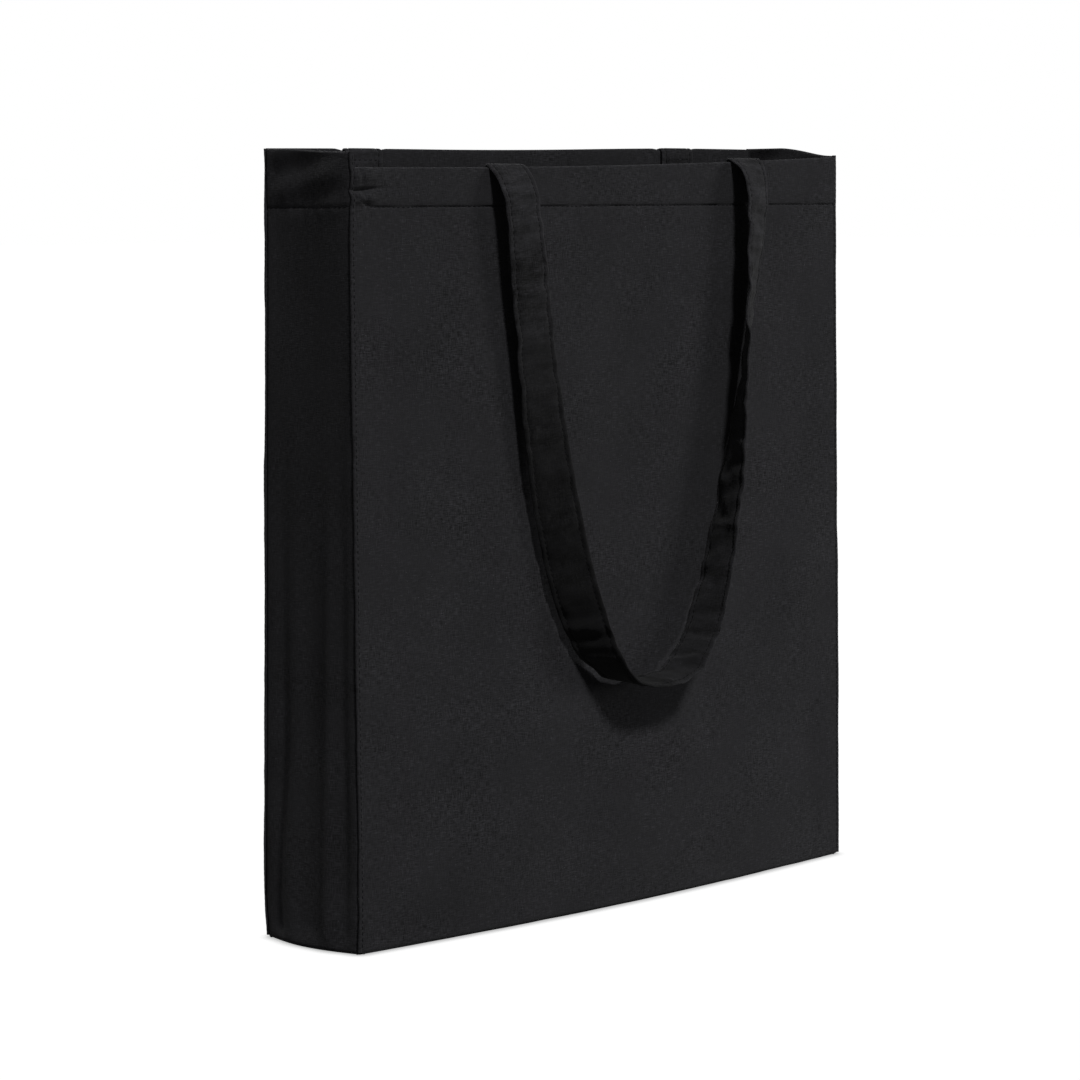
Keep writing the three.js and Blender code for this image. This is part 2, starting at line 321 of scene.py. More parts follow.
def make_object(name, vertices, faces, material, uvs=None, wear=None, painted_shade=None):
    """A mesh object from vertices and faces. Each vertex may have a (u, v) in metres, a wear
    from 0 to 1 and an amount of painted shade from 0 upwards."""
    mesh = bpy.data.meshes.new(name)
    mesh.from_pydata([tuple(v) for v in vertices], [], [tuple(f) for f in faces])
    mesh.validate()
    if uvs is not None:
        layer = mesh.uv_layers.new(name="cloth")
        index = np.zeros(len(mesh.loops), int)
        mesh.loops.foreach_get("vertex_index", index)
        layer.data.foreach_set("uv", np.asarray(uvs, np.float32)[index].ravel())
    for label, values in (("wear", wear), ("painted_shade", painted_shade)):
        if values is not None:
            attribute = mesh.attributes.new(label, "FLOAT", "POINT")
            attribute.data.foreach_set("value", np.asarray(values, np.float32))
    mesh.polygons.foreach_set("use_smooth", [True] * len(mesh.polygons))
    mesh.materials.append(material)
    mesh.update()
    return in_scene(name, mesh)


def grid_normals(points):
    """Unit normals of a grid of points: along its first index crossed with its second."""
    normal = np.cross(np.gradient(points, axis=0), np.gradient(points, axis=1))
    return normal / np.maximum(np.linalg.norm(normal, axis=-1, keepdims=True), 1e-12)


def sheet_object(name, outer, uv, wear, material):
    """A closed thin sheet. outer is a grid of points whose normals point out of the cloth's
    visible face, and the other face lies the cloth's thickness behind it."""
    n, m, _ = outer.shape
    inner = outer - grid_normals(outer) * CLOTH
    vertices = np.concatenate([outer.reshape(-1, 3), inner.reshape(-1, 3)])
    i, j = np.meshgrid(np.arange(n - 1), np.arange(m - 1), indexing="ij")
    a = (i * m + j).ravel()
    front = np.stack([a, a + m, a + m + 1, a + 1], axis=1)
    back = front[:, ::-1] + n * m
    border = [*range(m), *range(2 * m - 1, n * m, m)]
    border += [*range(n * m - 2, (n - 1) * m - 1, -1), *range((n - 2) * m, 0, -m)]
    border = np.array(border)
    following = np.roll(border, -1)
    rim = np.stack([border, following, following + n * m, border + n * m], axis=1)
    faces = np.concatenate([front, back, rim])
    uvs = np.concatenate([uv.reshape(-1, 2)] * 2)
    wear = np.concatenate([wear.ravel()] * 2)
    return make_object(name, vertices, faces, material, uvs, wear)


def tube_faces(rings, corners):
    """The faces of a closed tube: the sides between its rings, and its two ends."""
    ring = np.arange(rings - 1)[:, None] * corners
    corner = np.arange(corners)[None, :]
    after = (corner + 1) % corners
    sides = np.stack(
        [ring + corner, ring + after, ring + corners + after, ring + corners + corner], axis=-1
    )
    last = (rings - 1) * corners
    ends = [range(corners)[::-1], range(last, last + corners)]
    return [*sides.reshape(-1, 4), *ends]


# ---- panels, gussets and base ----
def hemmed_rows(step):
    """Distances up a hemmed sheet, closest together at its folds and its stitching."""
    return spaced(
        (0, TURN_END, 0.9 * MM),
        (TURN_END, RIM_START - HEM - 8 * MM, step),
        (RIM_START - HEM - 8 * MM, RIM_START - HEM - 3 * MM, 0.8 * MM),
        (RIM_START - HEM - 3 * MM, RIM_START - HEM + 5 * MM, 0.36 * MM),
        (RIM_START - HEM + 5 * MM, RIM_START, 0.8 * MM),
        (RIM_START, RIM_END, 0.35 * MM),
        (RIM_END, RIM_END + HEM + HEM_SPARE - FOLD, 1.4 * MM),
    )


def folded_profile(distance, rim):
    """A hemmed sheet's outer face in section: (in, height) at each distance up the sheet. It
    turns out of the base, goes up to the rim, folds inwards and comes down behind itself."""
    base_angle = np.clip(distance / BASE_ROUND, 0, math.pi / 2)
    rim_angle = np.clip((distance - RIM_START) / FOLD, 0, math.pi)
    inward = BASE_ROUND * (1 - np.sin(base_angle)) + FOLD * (1 - np.cos(rim_angle))
    height = BASE_ROUND * (1 - np.cos(base_angle)) + FOLD * np.sin(rim_angle)
    height += np.clip(distance - TURN_END, 0, RIM_START - TURN_END)
    height -= np.clip(distance - RIM_END, 0, None)
    # The last stretch up to the uneven rim is stretched or squeezed to reach it.
    height += (rim - HEIGHT) * smooth((distance - RIM_START) / RIM_REACH + 1)
    return inward, height


def rim_wear(distance):
    """Wear along the fold at the mouth."""
    return bump((distance - (RIM_START + RIM_END) / 2) / (1.6 * MM))


def side_cloth(side):
    """One large panel and its turned-in hem, as one sheet."""
    half = HALF_WIDTH - EDGE_GAP
    fine = 30 * MM  # the breadth of the closely meshed strip along each upright edge
    x = spaced(
        (-half, -half + fine, 1.2 * MM),
        (-half + fine, half - fine, 2.6 * MM),
        (half - fine, half, 1.2 * MM),
    )
    rows = hemmed_rows(2.6 * MM)
    xs, distance = np.meshgrid(x, rows, indexing="ij")
    inward, height = folded_profile(distance, rim_height(side, xs))
    points = bent(side, xs, inward + panel_depth(side, xs, height), height)
    uv = np.stack([xs, distance], axis=-1)
    wear = np.maximum(rim_wear(distance), 0.5 * bump(distance / (4 * MM)))
    piece = sheet_object(f"{side}_cloth", points, uv, wear, CANVAS[side])
    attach(piece, BODY[side])
    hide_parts(f"{side}_panel", f"{side}_hem")


GUSSET_WAVES = {"left": Ripples(21, 0.20, 0.05), "right": Ripples(22, 0.20, 0.05)}


def gusset_depth(side, s, z):
    """How far a gusset's outer face lies in from the straight outer plane, with the soft
    upright creases that folding the bag flat has left in it."""
    edge = smooth((1 - np.abs(s)) / 0.3)
    foot = smooth(z / (12 * MM))
    low = smooth(1.25 - z / (0.62 * HEIGHT))
    sway = 0.05 * np.sin(z / (90 * MM))
    folds = (
        # place across, breadth, depth inwards
        (-0.75 + sway, 0.15, 1.8 * MM),
        (-0.45 + sway, 0.12, -1.3 * MM),
        (-0.05 + sway, 0.30, 1.5 * MM),
        (0.32, 0.15, -0.6 * MM),
        (0.62, 0.12, 1.5 * MM),
    )
    creases = sum(depth * bump((s - place) / breadth) for place, breadth, depth in folds)
    waves = 0.7 * MM * GUSSET_WAVES[side](s * HALF_DEPTH, z * 0.5)
    wavy = 0.5 * MM * np.sin(s * 5.4 + 1.3)
    wavy = wavy + 0.75 * MM * np.sin((HEIGHT - z) / (3.2 * MM) - 2.1 * s)
    in_hem = smooth((z - HEIGHT + 40 * MM) / (24 * MM))
    dent = hem_dent(s * HALF_DEPTH, z - STITCH_Z, 0.45)
    from_seam = (1 - np.abs(s)) * HALF_DEPTH
    groove = 1.0 * MM * bump(from_seam / (1.3 * MM))
    return edge * foot * (creases * low + waves + wavy * in_hem) + dent + groove


def gusset_cloth(side):
    """One gusset and its turned-in hem, as one sheet."""
    s = spaced((-1, -0.92, 0.012), (-0.92, 0.92, 0.035), (0.92, 1, 0.012))
    rows = hemmed_rows(2.4 * MM)
    ss, distance = np.meshgrid(s, rows, indexing="ij")
    inward, height = folded_profile(distance, gusset_rim(side, ss))
    x = OUT[side] * (HALF_WIDTH - inward - gusset_depth(side, ss, height))
    y = ss * (HALF_DEPTH - EDGE_GAP)
    if side == "left":
        # The bunched corner of the front's hem draws the gusset's edge with it.
        drawn = corner_bunch(FRONT, np.full(ss.shape, -HALF_WIDTH), height)
        y = y + drawn * smooth((-ss - 0.6) / 0.4)
    points = bag_shape(np.stack([x, y, height], axis=-1))
    if side == "left":
        # Reversed, so that the normals point out of the bag on this side too.
        points, distance, ss = points[::-1], distance[::-1], ss[::-1]
    uv = np.stack([ss * HALF_DEPTH + OUT[side] * 0.5, distance], axis=-1)
    piece = sheet_object(f"{side}_gusset_cloth", points, uv, rim_wear(distance), CANVAS[side])
    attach(piece, "bag")
    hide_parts(f"{side}_gusset", f"{side}_hem")
    flatten_with_bag(piece)


def flatten_with_bag(piece):
    """Gives the piece its own copy of its mesh."""
    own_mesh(piece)


def base_cloth():
    """The base, a sheet that lies on the floor inside the seams."""
    inset = 2 * MM
    x = spaced((-HALF_WIDTH + inset, HALF_WIDTH - inset, 2.4 * MM))
    y = spaced((-HALF_DEPTH + inset, HALF_DEPTH - inset, 2.0 * MM))
    xs, ys = np.meshgrid(x, y, indexing="ij")
    edge_x = smooth((HALF_WIDTH - np.abs(xs)) / (20 * MM))
    edge_y = smooth((HALF_DEPTH - np.abs(ys)) / (14 * MM))
    waves = 0.5 * MM + 0.35 * MM * Ripples(31, 0.12, 0.03)(xs, ys)
    crease = 1.0 * MM * bump(ys / (3 * MM))
    top = np.maximum(CLOTH + edge_x * edge_y * (waves + crease), CLOTH)
    points = bag_shape(np.stack([xs, ys, top], axis=-1))
    uv = np.stack([xs, ys + 1.0], axis=-1)
    piece = sheet_object("base_cloth", points, uv, np.zeros(xs.shape), CANVAS["base"])
    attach(piece, "bag")
    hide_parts("base_panel")
    flatten_with_bag(piece)


# ---- stitches ----
STITCH_SIDES = 6
STITCH_RINGS = (
    # place along the stitch, thickness, height above the cloth
    (-0.5, 0.35, -1.0),
    (-0.36, 0.85, -0.1),
    (0.0, 1.0, 0.25),
    (0.36, 0.85, -0.1),
    (0.5, 0.35, -1.0),
)
# A stitch's rings turn the other way round from a tube's, so each face is turned over.
STITCH_FACES = [
    (face[0], *face[:0:-1]) for face in map(tuple, tube_faces(len(STITCH_RINGS), STITCH_SIDES))
]


def stitches(name, rows, material):
    """Rows of separate stitches in one mesh. A row is (points, normals): a line on the cloth
    and the direction out of it at each point. Each stitch dips into the cloth at its ends."""
    vertices, faces = [], []
    angles = np.arange(STITCH_SIDES) * 2 * math.pi / STITCH_SIDES
    for points, normals in rows:
        along = distances(points)
        count = int(along[-1] / STITCH_PITCH)
        for k in range(count):
            middle = (k + 0.5) * along[-1] / count
            base = len(vertices)
            for share, thick, rise in STITCH_RINGS:
                at = min(max(middle + share * STITCH_LENGTH, 0), along[-1])
                normal = unit(read_at(at, along, normals))
                ahead = read_at(min(at + MM, along[-1]), along, points)
                behind = read_at(max(at - MM, 0), along, points)
                sideways = np.cross(normal, unit(ahead - behind))
                centre = read_at(at, along, points) + normal * rise * THREAD_RADIUS
                for angle in angles:
                    ring = sideways * math.cos(angle) + normal * math.sin(angle)
                    vertices.append(centre + ring * thick * THREAD_RADIUS)
            faces += [tuple(base + corner for corner in face) for face in STITCH_FACES]
    return make_object(name, vertices, faces, material)


def hem_stitches(side):
    """The row of stitches that holds a large panel's hem, outside and inside."""
    x = np.arange(-HALF_WIDTH + 4 * MM, HALF_WIDTH - 4 * MM, 1.5 * MM)
    z = stitch_height(side, x)
    z = z + 0.25 * MM * np.sin(x / (23 * MM)) + 0.12 * MM * np.sin(x / (7 * MM))
    rows = []
    for layer, facing in ((0.0, 1.0), (2 * FOLD, -1.0)):
        q = panel_depth(side, x, z) + layer - facing * THREAD_PROUD
        normals = np.tile([0.0, -facing * TURN[side], 0.0], (len(x), 1))
        rows.append((bent(side, x, q, z), normals))
    piece = stitches(f"{side}_hem_thread", rows, THREAD)
    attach(piece, BODY[side])
    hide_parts(f"{side}_hem_stitching")


def gusset_hem_stitches(side):
    """The row of stitches that holds a gusset's hem, outside and inside."""
    s = np.linspace(-0.94, 0.94, 50)
    z = STITCH_Z + 0.3 * MM * np.sin(s * 5)
    rows = []
    for layer, facing in ((0.0, 1.0), (2 * FOLD, -1.0)):
        inwards = gusset_depth(side, s, z) + layer - facing * THREAD_PROUD
        x, y = OUT[side] * (HALF_WIDTH - inwards), s * (HALF_DEPTH - EDGE_GAP)
        normals = np.tile([OUT[side] * facing, 0.0, 0.0], (len(s), 1))
        rows.append((bag_shape(np.stack([x, y, z], axis=-1)), normals))
    piece = stitches(f"{side}_hem_thread", rows, THREAD)
    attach(piece, "bag")
    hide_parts(f"{side}_hem_stitching")
    flatten_with_bag(piece)


# ---- seams ----
def rounded_section(width, thick, power=3.0, count=20):
    """The (across, through) pairs of a flat band with rounded edges."""
    angle = np.linspace(0, 2 * math.pi, count, endpoint=False)
    c, s = np.cos(angle), np.sin(angle)
    across = width / 2 * np.sign(c) * np.abs(c) ** (2 / power)
    through = thick / 2 * np.sign(s) * np.abs(s) ** (2 / power)
    return np.stack([across, through], axis=-1)


def seam_band(name, middles, width, through, section, uv_across, wear, swell=1.0):
    """A closed band of one section along a line of middles. width and through are the
    directions of the section's two measures, and swell thickens it at each middle."""
    rings, corners = len(middles), len(section)
    swell = np.broadcast_to(swell, rings)[:, None, None]
    vertices = middles[:, None] + section[:, :1] * width + section[:, 1:] * swell * through
    uvs = np.stack(
        [np.tile(uv_across, rings), np.repeat(distances(middles), corners)], axis=-1
    )
    faces = tube_faces(rings, corners)
    wear = np.tile(wear, rings)
    return make_object(name, vertices.reshape(-1, 3), faces, CANVAS["seam"], uvs, wear)


def corner_seams(side):
    """The two pinched, topstitched seams up the corners of a side, with their threads."""
    band_edge = HALF_WIDTH + BAND_PROUD
    outwards = np.array([0.0, -TURN[side], 0.0])
    for which, end in OUT.items():
        # The back's right-hand corner is the bag's left one.
        top = 0.8 * MM if side == FRONT else BACK_RISE["left" if end > 0 else "right"]
        z = spaced((1.2 * MM, HEIGHT + top, 0.8 * MM))
        wobble = Ripples(41 + end + (7 if side == BACK else 0), 0.09, 0.012)(z, 0 * z)
        pucker = 0.13 * MM * np.sin(z / (STITCH_PITCH / 2 / math.pi))
        x = end * (band_edge - BAND_WIDTH / 2 + 0.16 * MM * wobble)
        q = 0.45 * MM + corner_bunch(side, x, z)
        section = rounded_section(BAND_WIDTH, BAND_THICK)[::end]
        piece = seam_band(
            f"{side}_corner_seam_{which}",
            bent(side, x, q, z),
            np.array([TURN[side] * end, 0.0, 0.0]),
            outwards,
            section,
            section.sum(axis=1),
            0.1 + 0.4 * (section[:, 0] > BAND_WIDTH * 0.3),
            1.0 + pucker / BAND_THICK,
        )
        z = z[(z > 3 * MM) & (z < z[-1] - 1.5 * MM)]
        x = np.full(len(z), end * (band_edge - BAND_WIDTH * 0.72))
        q = 0.5 * MM - BAND_THICK / 2 + corner_bunch(side, x, z)
        row = (bent(side, x, q, z), np.tile(outwards, (len(z), 1)))
        thread = stitches(f"{side}_corner_thread_{which}", [row], THREAD)
        for part in (piece, thread):
            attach(part, BODY[side])
        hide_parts(f"{side}_seam_{which}")


def base_seam(side, seed, half_length):
    """One seam along an edge of the base: a narrow rounded ridge, turned under."""
    along = spaced((-half_length + 3 * MM, half_length - 3 * MM, 1.6 * MM))
    wobble = 0.12 * MM * Ripples(seed, 0.06, 0.012)(along, 0 * along)
    height = np.full(len(along), BASE_SEAM_HEIGHT)
    if side in TURN:
        middles = bent(side, along, 2.2 * MM + wobble, height)
        width, through = [0.0, TURN[side], 0.0], [0.0, 0.0, 1.0]
    else:
        x = OUT[side] * (HALF_WIDTH - 3.4 * MM + wobble)
        middles = bag_shape(np.stack([x, along, height], axis=-1))
        width, through = [1.0, 0.0, 0.0], [0.0, 0.0, -1.0]
    section = rounded_section(2.6 * MM, 1.6 * MM, power=2.4, count=14)
    return seam_band(
        f"{side}_base_fold",
        middles,
        np.array(width),
        np.array(through),
        section,
        section[:, 0],
        np.full(len(section), 0.4),
    )


def base_seams():
    """The four seams round the base."""
    for side, seed in ((FRONT, 51), (BACK, 52)):
        piece = base_seam(side, seed, HALF_WIDTH)
        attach(piece, BODY[side])
        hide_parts(f"{side}_base_seam")
    for side, seed in (("left", 53), ("right", 54)):
        piece = base_seam(side, seed, HALF_DEPTH)
        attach(piece, "bag")
        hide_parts(f"{side}_base_seam")
        flatten_with_bag(piece)


# ---- strap handles ----
def handle_line(side):
    """The middle of a whole strap in side coordinates: up inside the hem, over the rim, down,
    round and back. Returns even points, their distances along the strap and their shares of
    the loop, which are below 0 and above 1 where the strap is sewn or folding over."""
    off = STRAP_FOLD * math.cos(STRAP_LEAVES) + FOLD
    drop_start = STRAP_FOLD * math.sin(STRAP_LEAVES) - FOLD
    t = np.linspace(0, 1, 6001)
    across = np.cos(math.pi * t)
    depth = np.abs(np.sin(math.pi * t)) ** 1.71
    left_end, right_end = HANDLE_ENDS[side]
    middle = (left_end + right_end) / 2
    half = (right_end - left_end) / 2
    x = middle - half * np.sign(across) * np.abs(across) ** 0.68 - 4.0 * MM * depth**2.7
    root = np.where(t < 0.5, rim_height(side, left_end), rim_height(side, right_end))
    root = root + drop_start
    z = root - (root - (HEIGHT - HANDLE_DROP)) * depth
    spring = 1 - np.exp(-(root - z) / ROOT_REACH)
    q = off - ROOT_STANDOFF * spring + LEG_SETTLES * depth - BOTTOM_SWINGS * depth**4
    loop = np.stack([x, q, z], axis=-1)
    angle = np.linspace(0, STRAP_LEAVES, 60)[:-1]
    ends = []
    for end_x in (left_end, right_end):
        rim = float(rim_height(side, end_x))
        up = np.linspace(rim - STRAP_END, rim - FOLD, 80)[:-1]
        q = np.concatenate([np.full(len(up), STRAP_INSIDE), FOLD + STRAP_FOLD * np.cos(angle)])
        z = np.concatenate([up, rim - FOLD + STRAP_FOLD * np.sin(angle)])
        ends.append(np.stack([np.full(len(q), end_x), q, z], axis=-1))
    line = np.concatenate([ends[0], loop, ends[1][::-1]])
    along = distances(line)
    even = np.linspace(0, along[-1], round(along[-1] / (1.2 * MM)) + 1)
    start, end = along[len(ends[0])], along[len(ends[0]) + len(loop) - 1]
    return read_at(even, along, line), even, (even - start) / (end - start)


def depth_down(share):
    """How far down a leg each place on a strap is: 0 at the rim, 1 at the loop's bottom."""
    return np.clip(1 - np.abs(2 * share - 1), 0, 1)


def strap_twist(share):
    """How far the strap's inner edge has turned away from the panel, along the loop. One leg
    turns late and the other starts at its root."""
    down = depth_down(share)
    late = 90 * down**2.3
    early = 18 * (1 - np.exp(-down / 0.04)) + 72 * np.minimum(down / 0.74, 1) ** 1.3
    turned_over = 10 * bump((share - 0.5) / 0.09)
    twist = np.radians(np.where(share < 0.5, late, early) + turned_over)
    reach = 15
    kernel = bump(np.arange(-reach, reach + 1) / 8.0)
    padded = np.pad(twist, reach, mode="edge")
    smoothed = np.convolve(padded, kernel / kernel.sum(), mode="valid")
    # The even spread must not leak a twist into the fold over the rim.
    return smoothed * smooth(down / 0.03)


def strap_frames(side):
    """Points along a whole strap, their distances, their shares of the loop, and the directions
    of the strap's width and thickness at each, in side coordinates."""
    points, even, share = handle_line(side)
    down = depth_down(share)
    # The panel leans in with height, so the sewn part and the fold follow it.
    points[:, 1] += smooth(1 - down / 0.20) * lean(side, points[:, 2])
    along = unit(np.gradient(points, axis=0))
    wander = Ripples(61 if side == FRONT else 62, 0.16, 0.05)(even, 0 * even)
    twist = strap_twist(share) + math.radians(3.0) * wander * smooth(down / 0.15)
    inward = np.cross([0.0, -1.0, 0.0], along)
    sideways = np.where((share < 0.5)[:, None], [1.0, 0.0, 0.0], [-1.0, 0.0, 0.0])
    inward = unit(np.where((down <= 0)[:, None], sideways, inward))
    outward = unit(np.cross(along, inward))
    width = inward * np.cos(twist)[:, None] + outward * np.sin(twist)[:, None]
    return points, even, share, width, np.cross(along, width)


def clear_of_panel(side, points, down):
    """Moves strap points, in side coordinates, out to where they clear the bent panel. down
    is 0 at the rim and 1 at the bottom of the loop."""
    x, q, z = points[..., 0], points[..., 1], points[..., 2]
    face = TURN[side] * bent(side, x, panel_depth(side, x, z), z)[..., 1] + HALF_DEPTH
    limit = face - STRAP_CLEAR + 20 * MM * (1 - smooth(down / 0.05))
    return np.stack([x, np.where(down > 0, np.minimum(q, limit), q), z], axis=-1)


# Places from a strap's middle to its edge, closest together beside its row of stitches.
HALF_ACROSS = np.array([0.2, 0.45, 0.66, 0.74, 0.77, 0.80, 0.86, 0.93, 0.985, 1.0])
ACROSS = np.concatenate([-HALF_ACROSS[::-1], [0.0], HALF_ACROSS])
STRAP_ROW = 1 - 2 * STRAP_STITCH_IN / STRAP_WIDTH  # the row of stitches, across the strap


def strap_section(pucker):
    """Half thickness of the strap at each place across it: rounded edges, a groove along each
    row of stitches, and puckers between the stitches."""
    edge = (1 - np.abs(ACROSS) ** 14) ** 0.5
    from_row = np.abs(ACROSS) - STRAP_ROW
    half = STRAP_THICK / 2 * (0.25 + 0.75 * edge) - 0.50 * MM * bump(from_row / 0.045)
    return half + bump(from_row / 0.13) * pucker


def strap_lift(seed, even, share):
    """How far a strap's middle surface is raised at each place along and across it: waves,
    folds and short tilted nicks, which all fade out towards the sewn ends."""
    nicks = 30
    across = ACROSS[None, :] * STRAP_WIDTH / 2
    rng = np.random.default_rng(seed + 20)
    places = rng.uniform(0.05, 0.95, nicks)
    sizes = rng.uniform(0.5, 1.2, nicks) * MM * rng.choice((-1, 1), nicks)
    tilts = rng.uniform(-0.5, 0.5, nicks)
    lift = 0.26 * MM * Ripples(seed, 0.030, 0.008, 26)(even[:, None], across * 1.6)
    lift += 0.40 * MM * Ripples(seed + 10, 0.035, 0.010)(even[:, None], across * 0.4)
    for place, size, tilt in zip(places, sizes, tilts):
        off = (share[:, None] - place) * even[-1] + tilt * across
        lift -= size * bump(off / (2.6 * MM)) * (1.0 - 0.6 * np.abs(ACROSS))
    return lift * smooth(depth_down(share) / 0.10)[:, None]


def strap_webbing(side, frames, lift):
    """The canvas of one handle. Painted shade makes it darker low down, more so in its left leg."""
    points, even, share, width, through = frames
    down = depth_down(share)
    pucker = 0.10 * MM * np.sin(even * 2 * math.pi / STITCH_PITCH)
    half_width = STRAP_WIDTH / 2
    rings = []
    for k in range(len(points)):
        half = strap_section(pucker[k])
        middle = points[k] + ACROSS[:, None] * half_width * width[k]
        outer = middle + (lift[k] + half)[:, None] * through[k]
        inner = middle + (lift[k] - half)[:, None] * through[k]
        rings.append(clear_of_panel(side, np.concatenate([inner, outer[::-1]]), down[k]))
    corners = len(rings[0])
    uv_gap = 2.2  # half widths between the two faces' cloth, so that they don't match
    uv_across = np.concatenate([ACROSS, ACROSS[::-1] + uv_gap]) * half_width
    uvs = np.stack([np.tile(uv_across, len(rings)), np.repeat(even, corners)], axis=-1)
    wear = np.tile(np.abs(np.concatenate([ACROSS, ACROSS[::-1]])) ** 20, len(rings))
    # Painted shade: the strap's colour grows darker down each leg, more in the left leg.
    painted_shade = np.repeat(smooth(down / 0.5) * np.where(share < 0.5, 1.22, 0.5), corners)
    vertices = side_to_world(side, np.concatenate(rings))
    faces = tube_faces(len(rings), corners)
    return make_object(f"{side}_strap", vertices, faces, CANVAS["strap"], uvs, wear, painted_shade)


def strap_thread(side, frames, lift):
    """The row of stitches along each edge of a handle, on both of its faces."""
    points, even, share, width, through = frames
    column = int(np.argmin(np.abs(ACROSS - STRAP_ROW)))
    height = STRAP_THICK / 2 - 0.44 * MM
    row_start = 6 * MM
    sewn = (even > row_start) & (even < even[-1] - row_start)
    rows = []
    for place in (column, len(ACROSS) - 1 - column):
        for face in (1, -1):
            line = points + ACROSS[place] * STRAP_WIDTH / 2 * width
            line = line + (lift[:, place] + face * height)[:, None] * through
            line = clear_of_panel(side, line, depth_down(share))
            on_cloth = side_to_world(side, line[sewn])
            above = side_to_world(side, (line + face * through)[sewn])
            rows.append((on_cloth, above - on_cloth))
    return stitches(f"{side}_strap_thread", rows, STRAP_THREAD)


def strap(side):
    """One handle, from sewn end to sewn end, with its stitching."""
    frames = strap_frames(side)
    _, even, share, _, _ = frames
    lift = strap_lift(71 if side == FRONT else 72, even, share)
    piece = strap_webbing(side, frames, lift)
    thread = strap_thread(side, frames, lift)
    # The strap passes over the rim, between its sewn part and the panel's outer face. Its pieces are
    # baked into the row frame.
    for part in (piece, thread):
        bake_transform(part)
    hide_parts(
        f"{side}_handle", f"{side}_handle_end_left", f"{side}_handle_end_right"
    )
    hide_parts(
        f"{side}_handle_stitching_inner", f"{side}_handle_stitching_outer"
    )


def box_stitches(side):
    """The crossed squares of stitches that hold a side's strap ends inside the hem."""
    corners = [(-BOX_HALF, -BOX_HALF), (BOX_HALF, -BOX_HALF), (BOX_HALF, BOX_HALF),
               (-BOX_HALF, BOX_HALF)]
    lines = [(corners[k], corners[(k + 1) % 4]) for k in range(4)]
    lines += [(corners[0], corners[2]), (corners[1], corners[3])]
    t = np.linspace(0, 1, 14)
    for which, x in zip(("left", "right"), HANDLE_ENDS[side]):
        z = float(rim_height(side, x)) - STRAP_END / 2 - 1 * MM
        rows = []
        for (x0, z0), (x1, z1) in lines:
            xs, zs = x + x0 + (x1 - x0) * t, z + z0 + (z1 - z0) * t
            q = STRAP_INSIDE + lean(side, zs) + STRAP_THICK / 2 - 0.05 * MM
            points = side_to_world(side, np.stack([xs, q, zs], axis=-1))
            rows.append((points, np.tile([0.0, TURN[side], 0.0], (len(t), 1))))
        piece = stitches(f"{side}_box_thread_{which}", rows, THREAD)
        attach(piece, BODY[side])
        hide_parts(f"{side}_box_stitch_{which}")


# ---- materials ----
def new_material(name):
    """A new material, its node tree and its main shader."""
    material = bpy.data.materials.new(name)
    material.use_nodes = True
    return material, material.node_tree, material.node_tree.nodes["Principled BSDF"]


def feed(tree, made, key, value):
    """Gives a node's input a value, or links another node's output to it."""
    if isinstance(value, bpy.types.NodeSocket):
        tree.links.new(value, made.inputs[key])
    else:
        made.inputs[key].default_value = value


def node(tree, kind, inputs=None, **settings):
    made = tree.nodes.new(kind)
    for key, value in settings.items():
        setattr(made, key, value)
    for key, value in (inputs or {}).items():
        feed(tree, made, key, value)
    return made


def maths(tree, operation, a, b=0.0, clamp=False):
    inputs = {0: a, 1: b}
    return node(tree, "ShaderNodeMath", inputs, operation=operation, use_clamp=clamp).outputs[0]


def add(tree, a, b, times=1.0):
    """a plus b, which may be multiplied first."""
    if times != 1.0:
        b = maths(tree, "MULTIPLY", b, times)
    return maths(tree, "ADD", a, b)


def stretched_noise(tree, uv, across, along, seed, detail=1.0):
    """Noise whose blobs measure about across by along metres."""
    place = node(
        tree,
        "ShaderNodeMapping",
        {"Vector": uv, "Location": (seed, seed * 0.7, 0), "Scale": (1 / across, 1 / along, 1)},
    )
    noise = node(
        tree,
        "ShaderNodeTexNoise",
        {"Vector": place.outputs[0], "Scale": 1.0, "Detail": detail, "Roughness": 0.55},
        noise_dimensions="2D",
    )
    return noise.outputs["Fac"]


def weave(tree, uv):
    """The height of a plain weave, from 0 to 1."""
    pitch = 0.62 * MM
    yarns = node(
        tree, "ShaderNodeVectorMath", {0: uv, 1: (1 / pitch,) * 3}, operation="MULTIPLY"
    ).outputs[0]
    over = node(tree, "ShaderNodeTexChecker", {"Vector": yarns, "Scale": 1.0}).outputs["Fac"]
    axes = node(tree, "ShaderNodeSeparateXYZ", {0: yarns}).outputs
    warp, weft = (
        maths(tree, "ABSOLUTE", maths(tree, "SINE", maths(tree, "MULTIPLY", axis, math.pi)))
        for axis in (axes[0], axes[1])
    )
    return node(tree, "ShaderNodeMix", {0: over, 2: warp, 3: weft}).outputs[0]


def slubs(tree, uv, seed):
    """Thicker and thinner places along both yarns, stronger in some patches, about 0."""
    warp = stretched_noise(tree, uv, 0.45 * MM, 4.5 * MM, seed)
    weft = stretched_noise(tree, uv, 4.5 * MM, 0.45 * MM, seed + 3.1)
    both = maths(tree, "SUBTRACT", maths(tree, "ADD", warp, weft), 1.0)
    strength = stretched_noise(tree, uv, 55 * MM, 40 * MM, seed + 5.2)
    strength = maths(tree, "ADD", maths(tree, "MULTIPLY", strength, 3.0), -0.5)
    return maths(tree, "MULTIPLY", both, maths(tree, "MAXIMUM", strength, 0.3))


